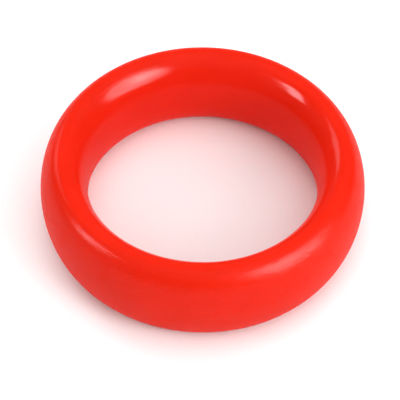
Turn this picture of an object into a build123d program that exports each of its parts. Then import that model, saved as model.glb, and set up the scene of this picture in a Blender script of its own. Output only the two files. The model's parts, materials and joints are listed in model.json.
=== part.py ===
"""Moulded elastomer ring: one solid with an oval wall, turned from its section about the ring's axis.

Units are millimetres. Z is the axis of the ring. The origin is the centre of the bore, half-way up
the ring. The section is an oval that stands on end, with the bore on its left and the outer wall on
its right. Its two sides are halves of different ellipses: the bore side bulges a little more, and
both sides lie flat at the rims, where they meet without an edge.
"""
from build123d import *
import os

# ---- Driving dimensions ----
bore_diameter = 50.0        # across the narrowest part of the hole
wall_thickness = 10.2       # radial, at half height, where the wall is thickest
ring_height = 20.5          # from rim to rim, along the axis
rim_offset = 0.3            # how far the top line of each rim lies outside the middle of the wall
land_height = 1.0           # straight band round the waist of the bore, where the mould halves meet

# ---- Sizes and places that follow from them ----
bore_radius = bore_diameter / 2
half_height = ring_height / 2
half_land = land_height / 2
outer_bulge = wall_thickness / 2 - rim_offset       # how far the outer wall stands out from the rims
bore_bulge = wall_thickness / 2 + rim_offset        # how far the bore's wall stands in from the rims
rim_line_radius = bore_radius + bore_bulge          # radius of the circle along the top of each rim


def outer_side():
    """Half ellipse from the lower rim, round the widest part of the ring, to the upper rim."""
    return EllipticalCenterArc(
        center=(rim_line_radius, 0),
        x_radius=outer_bulge,
        y_radius=half_height,
        start_angle=-90,
        arc_size=180,
    )


def bore_side(end_height, start_angle):
    """Quarter ellipse between a rim and the end of the bore's land that is at end_height."""
    return EllipticalCenterArc(
        center=(rim_line_radius, end_height),
        x_radius=bore_bulge,
        y_radius=half_height - half_land,
        start_angle=start_angle,
        arc_size=90,
    )


def ring_section():
    """Closed face of the wall, drawn anticlockwise from the lower rim."""
    with BuildSketch(Plane.XZ) as section:
        with BuildLine():
            outer_side()
            upper = bore_side(half_land, start_angle=90)
            lower = bore_side(-half_land, start_angle=180)
            Line(upper @ 1, lower @ 0)
        make_face()
    return section.sketch


def moulded_ring():
    """The whole ring: its section turned once round the Z axis."""
    return revolve(ring_section(), axis=Axis.Z)


os.makedirs("parts", exist_ok=True)
export_step(moulded_ring(), "parts/ring.step")
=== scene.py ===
"""Moulded elastomer ring: its finished surface, its material and a plain studio round it.

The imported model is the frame. The ring's visible skin is modelled here at the size of its solid, and takes
the solid's place, because a glossy wall needs an even, smoothly shaded surface. Lengths are metres in the
frame's axes.
"""

import json
import logging
import math
from dataclasses import dataclass
from enum import Enum
from typing import Callable, Mapping, Union

import bmesh
import bpy
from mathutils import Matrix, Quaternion, Vector


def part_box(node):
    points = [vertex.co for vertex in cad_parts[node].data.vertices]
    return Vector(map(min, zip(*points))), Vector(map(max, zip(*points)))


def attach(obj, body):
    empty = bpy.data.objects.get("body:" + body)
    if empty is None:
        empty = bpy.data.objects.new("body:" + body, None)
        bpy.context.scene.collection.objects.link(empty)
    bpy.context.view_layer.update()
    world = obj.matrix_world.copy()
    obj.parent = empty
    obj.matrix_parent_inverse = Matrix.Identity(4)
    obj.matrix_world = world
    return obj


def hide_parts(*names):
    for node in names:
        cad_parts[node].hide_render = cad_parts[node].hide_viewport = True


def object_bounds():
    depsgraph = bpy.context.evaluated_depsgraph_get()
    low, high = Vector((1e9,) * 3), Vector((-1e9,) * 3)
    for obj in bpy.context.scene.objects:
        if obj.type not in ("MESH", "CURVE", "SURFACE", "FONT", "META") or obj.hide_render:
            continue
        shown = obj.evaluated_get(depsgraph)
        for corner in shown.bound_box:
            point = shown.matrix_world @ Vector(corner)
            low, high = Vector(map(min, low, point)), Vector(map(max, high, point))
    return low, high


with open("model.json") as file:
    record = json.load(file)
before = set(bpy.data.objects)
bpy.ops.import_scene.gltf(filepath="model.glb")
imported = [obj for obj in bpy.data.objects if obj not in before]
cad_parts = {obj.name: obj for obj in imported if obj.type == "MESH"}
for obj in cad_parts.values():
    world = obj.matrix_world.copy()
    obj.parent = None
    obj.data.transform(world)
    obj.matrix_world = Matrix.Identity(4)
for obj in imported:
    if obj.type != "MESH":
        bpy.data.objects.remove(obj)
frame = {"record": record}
cad_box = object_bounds()

log = logging.getLogger("ring")

MM = 0.001
RING_NODE = "ring"
ROOT_BODY = "root"

# Points of a mesh that are nearer than this are one point.
MERGE_DISTANCE = 0.001 * MM

# Places of a colour Mix node's sockets, whose names it shares with its numbers and vectors.
MIX_SHARE, MIX_LOW, MIX_HIGH, MIX_COLOUR = 0, 6, 7, 2

# Places of a Mix Shader node's sockets, whose two shaders share one name.
SHADER_SHARE, SHADER_LOW, SHADER_HIGH = 0, 1, 2

# A noise's values, which seldom lie outside the low and the high one.
NOISE_LOW, NOISE_MIDDLE, NOISE_HIGH = 0.3, 0.5, 0.7

# Width of the camera's sensor, in millimetres.
SENSOR_WIDTH = 36

Number = Union[int, float]
Colour = tuple[float, float, float]

BLACK: Colour = (0.0, 0.0, 0.0)
WHITE: Colour = (1.0, 1.0, 1.0)


# ---------------------------------------------------------------------------
# Shader maths
# ---------------------------------------------------------------------------
class Signal:
    """A number that varies over a surface, wrapped so that Python's operators add Math nodes."""

    def __init__(self, graph: "Graph", socket: bpy.types.NodeSocket) -> None:
        """Wrap one output.

        Args:
            graph: The graph that the output belongs to.
            socket: The output that carries the number.
        """
        self.graph = graph
        self.socket = socket

    def _math(self, operation: str, first: "Term", second: "Term") -> "Signal":
        """Join two terms by one Math node and return its result."""
        return self.graph.node("ShaderNodeMath", {"operation": operation}, {0: first, 1: second})

    def __add__(self, other: "Term") -> "Signal":
        """Return self + other."""
        return self._math("ADD", self, other)

    __radd__ = __add__

    def __sub__(self, other: "Term") -> "Signal":
        """Return self - other."""
        return self._math("SUBTRACT", self, other)

    def __rsub__(self, other: "Term") -> "Signal":
        """Return other - self."""
        return self._math("SUBTRACT", other, self)

    def __mul__(self, other: "Term") -> "Signal":
        """Return self * other."""
        return self._math("MULTIPLY", self, other)

    __rmul__ = __mul__

    def between(self, low: Number, high: Number) -> "Signal":
        """Return a smooth step that is 0 below low and 1 above high."""
        settings = {"interpolation_type": "SMOOTHSTEP"}
        inputs = {"Value": self, "From Min": low, "From Max": high}
        return self.graph.node("ShaderNodeMapRange", settings, inputs)


Term = Union[Signal, Number]


class Graph:
    """The nodes of one material."""

    def __init__(self, material: bpy.types.Material) -> None:
        """Take over a material's nodes.

        Args:
            material: The material whose nodes are made here.
        """
        material.use_nodes = True
        self.tree = material.node_tree
        self.tree.nodes.clear()

    def node(self, kind: str, settings: Mapping[str, object], inputs: Mapping[object, object],
             output: Union[int, str] = 0) -> Signal:
        """Add any node, set it up and fill its inputs.

        Args:
            kind: The node's type.
            settings: Its properties, set before its inputs.
            inputs: A value, or a Signal to link, for each input, by name or number.
            output: The output to return, by name or number.

        Returns:
            The chosen output.
        """
        made = self.tree.nodes.new(kind)
        for name, value in settings.items():
            setattr(made, name, value)
        for key, value in inputs.items():
            if isinstance(value, Signal):
                self.tree.links.new(value.socket, made.inputs[key])
            else:
                made.inputs[key].default_value = value
        return Signal(self, made.outputs[output])

    def noise(self, where: Signal, grain: float, detail: float, seed: float) -> Signal:
        """Return noise from 0 to 1.

        Args:
            where: The place on the object that is coloured.
            grain: Size of one blob of the noise.
            detail: How many finer layers are added.
            seed: Picks one pattern of the many.

        Returns:
            The noise.
        """
        inputs = {"Vector": where, "W": seed, "Scale": 1.0 / grain, "Detail": detail}
        return self.node("ShaderNodeTexNoise", {"noise_dimensions": "4D"}, inputs)

    def radius(self, where: Signal) -> Signal:
        """Return the distance from the Z axis."""
        flat = self.node("ShaderNodeVectorMath", {"operation": "MULTIPLY"}, {0: where, 1: (1.0, 1.0, 0.0)})
        return self.node("ShaderNodeVectorMath", {"operation": "LENGTH"}, {0: flat}, "Value")

    def blend(self, share: Signal, low: Colour, high: Colour) -> Signal:
        """Return the colour that lies this share of the way from low to high."""
        inputs = {MIX_SHARE: share, MIX_LOW: (*low, 1.0), MIX_HIGH: (*high, 1.0)}
        return self.node("ShaderNodeMix", {"data_type": "RGBA"}, inputs, MIX_COLOUR)

    def relief(self, height: Signal) -> Signal:
        """Return the normal of a surface that stands up by this height."""
        return self.node("ShaderNodeBump", {}, {"Strength": 1.0, "Distance": 1.0, "Height": height})

    def finish(self, shader: Signal) -> None:
        """Join a shader to the material's surface."""
        output = self.tree.nodes.new("ShaderNodeOutputMaterial")
        self.tree.links.new(shader.socket, output.inputs["Surface"])


# ---------------------------------------------------------------------------
# Finishes
# ---------------------------------------------------------------------------
@dataclass(frozen=True)
class ElastomerFinish:
    """Pigmented, semi-gloss elastomer as it leaves its mould.

    Attributes:
        name: The material's name.
        light: Pigment where the batch is a trace lighter.
        deep: Pigment where it is a trace deeper.
        bore_gloss: Roughness of the skin on the bore's side of the rims, which a polished core shapes.
        wall_gloss: Roughness of the skin on the outer wall, which is handled and rubs on other things.
        haze: How much rougher the dullest patches are.
        rim_line: Radius of the rims' top line, where one skin gives way to the other.
        rim_width: Width of that change.
        cloud: Size of the clouds in the pigment.
        grain: Size of the fine grain that the mould leaves.
        grain_depth: Height of the grain that the outer wall has over and above the bore's side.
        bore_grain: Height of the grain that both have, as a share of grain_depth.
        speckle: How strongly the grain breaks up the sheen of the outer wall.
        ripple: Length of the slow ripples that shrinkage leaves.
        ripple_depth: Height of those ripples.
        refraction: Index of refraction.
        matt: Specular level of the part of the skin that mirrors nothing.
        sheen: Share of the skin that is smooth enough to mirror its surroundings. The rest is matt.
        shoulder_sheen: The same on the rims' inner shoulders, where the mould is polished brightest.
        shoulder_foot: Radius where the inner shoulder begins, outside the bore's steep wall.
        shoulder_head: Radius where it ends, at the rim's top.
        shoulder_fade: Width of the change at either side of it.
    """

    name: str = "red_elastomer"
    light: Colour = (0.78, 0.019, 0.007)
    deep: Colour = (0.74, 0.017, 0.005)
    bore_gloss: float = 0.12
    wall_gloss: float = 0.165
    haze: float = 0.04
    rim_line: float = 30.4 * MM
    rim_width: float = 4 * MM
    cloud: float = 9 * MM
    grain: float = 0.40 * MM
    grain_depth: float = 0.06 * MM
    bore_grain: float = 0.2
    speckle: float = 5.0
    ripple: float = 6 * MM
    ripple_depth: float = 0.02 * MM
    refraction: float = 1.45
    matt: float = 0.0
    sheen: float = 0.23
    shoulder_sheen: float = 0.39
    shoulder_foot: float = 26.6 * MM
    shoulder_head: float = 30.8 * MM
    shoulder_fade: float = 2.0 * MM

    def make(self) -> bpy.types.Material:
        """Return the finished material."""
        material = bpy.data.materials.new(self.name)
        graph = Graph(material)
        where = graph.node("ShaderNodeTexCoord", {}, {}, "Object")
        clouds = graph.noise(where, self.cloud, detail=3.0, seed=1.0)
        patches = graph.noise(where, self.cloud / 2, detail=4.0, seed=2.0)
        grain = graph.noise(where, self.grain, detail=2.0, seed=3.0)
        ripple = graph.noise(where, self.ripple, detail=1.0, seed=4.0)
        radius = graph.radius(where)
        on_wall = self._outside(radius, self.rim_line, self.rim_width)
        height = grain * (on_wall + self.bore_grain) * self.grain_depth + ripple * self.ripple_depth
        gloss = on_wall * (self.wall_gloss - self.bore_gloss) + self.bore_gloss
        surface = {
            "Base Color": graph.blend(clouds.between(NOISE_LOW, NOISE_HIGH), self.deep, self.light),
            "Roughness": patches.between(NOISE_LOW, NOISE_HIGH) * self.haze + gloss,
            "IOR": self.refraction,
            "Normal": graph.relief(height),
        }
        glossy = graph.node("ShaderNodeBsdfPrincipled", {}, surface)
        matt = graph.node("ShaderNodeBsdfPrincipled", {}, {**surface, "Specular IOR Level": self.matt})
        graph.finish(graph.node("ShaderNodeMixShader", {}, {
            SHADER_SHARE: 1 - self._sheen(radius, on_wall, grain),
            SHADER_LOW: glossy,
            SHADER_HIGH: matt,
        }))
        return material

    @staticmethod
    def _outside(radius: Signal, line: float, width: float) -> Signal:
        """Return a soft step, as wide as this, from 0 inside a circle round the axis to 1 outside it."""
        return radius.between(line - width / 2, line + width / 2)

    def _sheen(self, radius: Signal, on_wall: Signal, grain: Signal) -> Signal:
        """Return the share of the skin that mirrors its surroundings.

        Args:
            radius: Distance from the ring's axis.
            on_wall: 0 on the bore's side and 1 on the outer wall.
            grain: The noise that the fine grain follows.

        Returns:
            The share, which is higher on the inner shoulders and speckled on the outer wall.
        """
        past_foot = self._outside(radius, self.shoulder_foot, self.shoulder_fade)
        past_head = self._outside(radius, self.shoulder_head, self.shoulder_fade)
        even = (past_foot - past_head) * (self.shoulder_sheen - self.sheen) + self.sheen
        return even * ((grain - NOISE_MIDDLE) * on_wall * self.speckle + 1)


@dataclass(frozen=True)
class PaperFinish:
    """Matt white background paper, which glows round the ring with painted light.

    Attributes:
        name: The material's name.
        white: Colour of the paper on top of its fibres.
        shade: Colour between its fibres.
        fibre: Size of its fibres.
        fibre_depth: Height of its fibres.
        roughness: Roughness of the paper.
        specular: Specular level of the paper, which hardly shines.
        painted_glow: Painted light: the paper glows by itself round the ring, and so pales the shadow that
            the ring casts on it.
        painted_glow_start: Distance from the ring's axis where that painted glow begins, under the ring.
        painted_glow_full: Distance where it is at its full strength.
    """

    name: str = "background_paper"
    white: Colour = (0.90, 0.90, 0.90)
    shade: Colour = (0.89, 0.89, 0.89)
    fibre: float = 0.6 * MM
    fibre_depth: float = 0.003 * MM
    roughness: float = 0.9
    specular: float = 0.1
    painted_glow: float = 0.10
    painted_glow_start: float = 31 * MM
    painted_glow_full: float = 39 * MM

    def make(self) -> bpy.types.Material:
        """Return the finished material."""
        material = bpy.data.materials.new(self.name)
        graph = Graph(material)
        where = graph.node("ShaderNodeTexCoord", {}, {}, "Object")
        fibres = graph.noise(where, self.fibre, detail=3.0, seed=5.0)
        # Painted light: the paper glows from under the ring outwards, to pale the ring's cast shadow on it.
        painted_glow_share = graph.radius(where).between(self.painted_glow_start, self.painted_glow_full)
        graph.finish(graph.node("ShaderNodeBsdfPrincipled", {}, {
            "Base Color": graph.blend(fibres, self.shade, self.white),
            "Emission Color": graph.blend(painted_glow_share, BLACK, WHITE),
            "Emission Strength": self.painted_glow,
            "Roughness": self.roughness,
            "Specular IOR Level": self.specular,
            "Normal": graph.relief(fibres * self.fibre_depth),
        }))
        return material


# ---------------------------------------------------------------------------
# The ring
# ---------------------------------------------------------------------------
@dataclass
class RingSkin:
    """The ring's whole visible surface, an oval section spun once round the Z axis.

    Attributes:
        outer_radius: Radius at the widest part of the outer wall.
        bore_radius: Radius at the narrowest part of the hole.
        half_height: From the middle plane to the top of a rim.
        half_land: Half the height of the straight band round the bore's waist.
        rim_offset: How far each rim's top line lies outside the middle of the wall.
        section_points: Points round the oval section, a multiple of four.
        turns: Steps of the spin.
    """

    outer_radius: float
    bore_radius: float
    half_height: float
    half_land: float
    rim_offset: float = 0.3 * MM
    section_points: int = 112
    turns: int = 288

    @classmethod
    def from_frame(cls) -> "RingSkin":
        """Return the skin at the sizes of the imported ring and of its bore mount."""
        low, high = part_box(RING_NODE)
        bore = frame["record"]["mounts"][0]["dims"]
        return cls(
            outer_radius=(high.y - low.y) / 2,
            bore_radius=bore["r_mm"] * MM,
            half_height=(high.z - low.z) / 2,
            half_land=bore["length_mm"] * MM / 2,
        )

    def build(self) -> bpy.types.Object:
        """Return the closed, smoothly shaded skin."""
        ring = self._circle()
        bpy.ops.object.mode_set(mode="EDIT")
        self._shape_section(ring)
        self._spin_section()
        bpy.ops.object.mode_set(mode="OBJECT")
        bpy.ops.object.shade_smooth()
        return ring

    @property
    def _rim_line(self) -> float:
        """Radius of the circle along the top of a rim."""
        return (self.outer_radius + self.bore_radius) / 2 + self.rim_offset

    def _circle(self) -> bpy.types.Object:
        """Return an upright circle as tall as the ring, centred between the lines of its two rims."""
        bpy.ops.object.select_all(action="DESELECT")
        bpy.ops.mesh.primitive_circle_add(
            vertices=self.section_points,
            radius=self.half_height,
            location=(self._rim_line, 0, 0),
            rotation=(math.pi / 2, 0, 0),
        )
        circle = bpy.context.object
        circle.name = "ring_skin"
        bpy.ops.object.transform_apply(location=True, rotation=True, scale=True)
        return circle

    def _shape_section(self, ring: bpy.types.Object) -> None:
        """Flatten the circle's two sides into the outer wall and the bore, and part the bore for its land."""
        rim_line = self._rim_line
        centre = (rim_line, 0, 0)
        outer_share = (self.outer_radius - rim_line) / self.half_height
        bore_share = (rim_line - self.bore_radius) / self.half_height
        land_share = 1 - self.half_land / self.half_height
        near = self.half_height / self.section_points
        self._select(ring, lambda point: point.x > rim_line + near)
        bpy.ops.transform.resize(value=(outer_share, 1, 1), center_override=centre)
        self._select(ring, lambda point: point.x < rim_line - near)
        bpy.ops.transform.resize(value=(bore_share, 1, land_share), center_override=centre)
        for side in (1, -1):
            self._select(ring, lambda point: point.x < rim_line - near / 2 and point.z * side > near)
            bpy.ops.transform.translate(value=(0, 0, side * self.half_land))

    def _spin_section(self) -> None:
        """Spin the section once round the Z axis into a closed wall whose faces point outwards."""
        bpy.ops.mesh.select_all(action="SELECT")
        bpy.ops.mesh.spin(steps=self.turns, angle=2 * math.pi, center=(0, 0, 0), axis=(0, 0, 1))
        bpy.ops.mesh.select_all(action="SELECT")
        bpy.ops.mesh.remove_doubles(threshold=MERGE_DISTANCE)
        bpy.ops.mesh.normals_make_consistent(inside=False)

    @staticmethod
    def _select(ring: bpy.types.Object, wanted: Callable[[Vector], bool]) -> None:
        """Select the vertices whose places are wanted, and nothing else."""
        bpy.ops.mesh.select_mode(type="VERT")
        bpy.ops.mesh.select_all(action="DESELECT")
        mesh = bmesh.from_edit_mesh(ring.data)
        for vertex in mesh.verts:
            vertex.select = wanted(vertex.co)
        mesh.select_flush(True)
        bmesh.update_edit_mesh(ring.data)

    def dress(self, ring: bpy.types.Object, finish: ElastomerFinish) -> None:
        """Give the skin its material, its body and its place in the frame."""
        ring.data.materials.clear()
        ring.data.materials.append(finish.make())
        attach(ring, ROOT_BODY)
        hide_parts(RING_NODE)


# ---------------------------------------------------------------------------
# The studio
# ---------------------------------------------------------------------------
def direction(azimuth: float, elevation: float) -> Vector:
    """Return the unit vector from the ring's centre, in degrees from the camera's side and from the floor.

    Args:
        azimuth: 0 is towards the camera's side, 90 is to the right and -90 to the left.
        elevation: Height above the floor.

    Returns:
        The unit vector.
    """
    around = math.radians(azimuth)
    above = math.radians(elevation)
    return Vector((math.sin(around) * math.cos(above), -math.cos(around) * math.cos(above), math.sin(above)))


class Outline(Enum):
    """The shape of a softbox's front, by the renderer's own name."""

    OBLONG = "RECTANGLE"
    OVAL = "ELLIPSE"


class Duty(Enum):
    """What a lamp does: whether it lights matt surfaces, and whether it is mirrored in glossy ones."""

    LIGHT = (True, True)
    SHINE = (False, True)
    FILL = (True, False)


@dataclass(frozen=True)
class Softbox:
    """A flat diffused lamp that faces the ring.

    Attributes:
        name: The lamp's name.
        azimuth: Its bearing from the ring, as direction() counts it.
        elevation: Its height above the floor, in degrees.
        width: Its horizontal side.
        height: Its other side.
        brightness: How bright its front looks, where 1 looks white.
        distance: From the ring's centre.
        outline: The shape of its front.
        duty: What it does.
    """

    name: str
    azimuth: float
    elevation: float
    width: float
    height: float
    brightness: float
    distance: float = 0.6
    outline: Outline = Outline.OBLONG
    duty: Duty = Duty.LIGHT

    @property
    def _power(self) -> float:
        """Watts that make the front as bright as it should look."""
        filled = math.pi / 4 if self.outline is Outline.OVAL else 1.0
        return math.pi * self.brightness * self.width * self.height * filled

    def build(self) -> bpy.types.Object:
        """Return the lamp, placed and aimed."""
        towards = direction(self.azimuth, self.elevation)
        bpy.ops.object.light_add(type="AREA", location=towards * self.distance)
        lamp = bpy.context.object
        lamp.name = self.name
        lamp.rotation_euler = towards.to_track_quat("Z", "Y").to_euler()
        lamp.data.shape = self.outline.value
        lamp.data.size = self.width
        lamp.data.size_y = self.height
        lamp.data.energy = self._power
        lamp.visible_camera = False
        lamp.visible_diffuse, lamp.visible_glossy = self.duty.value
        return lamp


@dataclass(frozen=True)
class Backdrop:
    """A sheet of pale paper that the ring lies on.

    Attributes:
        reach: Half the side of the sheet.
        finish: Its material.
    """

    reach: float = 1.5
    finish: PaperFinish = PaperFinish()

    def build(self, floor_height: float) -> bpy.types.Object:
        """Return the sheet, laid at this height."""
        bpy.ops.object.select_all(action="DESELECT")
        bpy.ops.mesh.primitive_plane_add(size=2 * self.reach, location=(0, 0, floor_height))
        sheet = bpy.context.object
        sheet.name = "backdrop"
        bpy.ops.object.transform_apply(location=True, rotation=True, scale=True)
        sheet.data.materials.append(self.finish.make())
        return sheet


@dataclass(frozen=True)
class Viewpoint:
    """The camera, which looks down at the ring from in front.

    Attributes:
        elevation: Angle above the floor, in degrees.
        distance: From the ring's centre.
        lens: Focal length in millimetres.
        aim_right: How far to the right of the ring's centre the camera points.
        aim_up: How far above it, measured square to the view.
        roll: Turn about the line of sight, in degrees.
        reach: How many times nearer and farther than the ring the camera still sees.
    """

    elevation: float = 50.77
    distance: float = 0.3619
    lens: float = 149.45
    aim_right: float = -0.55 * MM
    aim_up: float = -3.38 * MM
    roll: float = 0.31
    reach: float = 100

    def build(self) -> bpy.types.Object:
        """Return the camera and make it the scene's own."""
        towards = direction(0, self.elevation)
        upright = towards.to_track_quat("Z", "Y")
        place = towards * self.distance
        aim = upright @ Vector((self.aim_right, self.aim_up, 0))
        facing = (place - aim).to_track_quat("Z", "Y") @ Quaternion((0, 0, 1), math.radians(self.roll))
        bpy.ops.object.camera_add(location=place, rotation=facing.to_euler())
        camera = bpy.context.object
        camera.data.sensor_width = SENSOR_WIDTH
        camera.data.lens = self.lens
        camera.data.clip_start = self.distance / self.reach
        camera.data.clip_end = self.distance * self.reach
        bpy.context.scene.camera = camera
        return camera


@dataclass
class Studio:
    """The plain studio: backdrop, lamps, white walls and camera.

    Each lamp stands at its own distance, because a mirrored ray that meets two lamps in one place sees only
    one. A softbox that is listed more than once is dimmer at its edge than in the middle of its cloth.

    Attributes:
        walls: Brightness of the walls, which the camera sees past the paper and which light nothing.
        lamps: The softboxes and bounce boards.
    """

    walls: float = 1.0
    lamps: tuple[Softbox, ...] = (
        Softbox("right_softbox", 51, 28.5, 0.190, 0.209, 6.6, 0.404, Outline.OVAL),
        Softbox("right_softbox_cloth", 57.5, 26, 0.41, 0.36, 9.5, 0.424, Outline.OVAL, Duty.SHINE),
        Softbox("right_softbox_middle", 52, 28, 0.111, 0.142, 5.0, 0.448, Outline.OVAL, Duty.SHINE),
        Softbox("right_softbox_bulb", 51.5, 28.5, 0.062, 0.103, 6.0, 0.452, Outline.OVAL, Duty.SHINE),
        Softbox("right_softbox_foot", 63, 8, 0.28, 0.096, 5.0, 0.456, duty=Duty.SHINE),
        Softbox("right_upper_board", 68, 49, 0.42, 0.28, 3.2, 0.636, Outline.OVAL, Duty.SHINE),
        Softbox("left_softbox", -79, 30, 0.139, 0.247, 2.0, 0.608),
        Softbox("left_softbox_cloth", -79, 30, 0.152, 0.280, 16.5, 0.632, duty=Duty.SHINE),
        Softbox("left_softbox_wing", -66, 32, 0.118, 0.281, 1.8, 0.660, duty=Duty.SHINE),
        Softbox("back_left_board", -135, 32, 0.203, 0.262, 3.6, 0.616),
        Softbox("top_fill", 0, 90, 0.557, 0.557, 1.85, 0.668, duty=Duty.FILL),
        Softbox("front_fill", 0, 50, 0.864, 0.489, 1.3, 0.672, duty=Duty.FILL),
        Softbox("right_fill", 90, 50, 0.874, 0.495, 1.35, 0.680, duty=Duty.FILL),
        Softbox("back_fill", 180, 50, 0.884, 0.501, 0.5, 0.688, duty=Duty.FILL),
        Softbox("low_left_fill", -90, 15, 1.337, 0.371, 1.1, 0.692, duty=Duty.FILL),
        Softbox("low_back_fill", 180, 15, 1.352, 0.376, 2.1, 0.700, duty=Duty.FILL),
    )

    def build(self, floor_height: float) -> None:
        """Make everything that stands round the ring."""
        Backdrop().build(floor_height)
        for lamp in self.lamps:
            lamp.build()
        world = bpy.data.worlds.new("white_walls")
        world.use_nodes = True
        background = world.node_tree.nodes["Background"]
        background.inputs["Color"].default_value = (*WHITE, 1)
        background.inputs["Strength"].default_value = self.walls
        world.cycles_visibility.diffuse = False
        world.cycles_visibility.glossy = False
        scene = bpy.context.scene
        scene.world = world
        scene.view_settings.view_transform = "Standard"
        Viewpoint().build()


def main() -> None:
    """Build the ring and its studio, in order, and report each piece."""
    logging.basicConfig(level=logging.INFO, format="%(name)s: %(message)s")
    skin = RingSkin.from_frame()
    ring = skin.build()
    skin.dress(ring, ElastomerFinish())
    log.info("%s: %d faces, %.1f mm across", ring.name, len(ring.data.polygons), ring.dimensions.x / MM)
    studio = Studio()
    studio.build(cad_box[0].z)
    log.info("studio: %d lamps", len(studio.lamps))


if __name__ == "__main__":
    main()
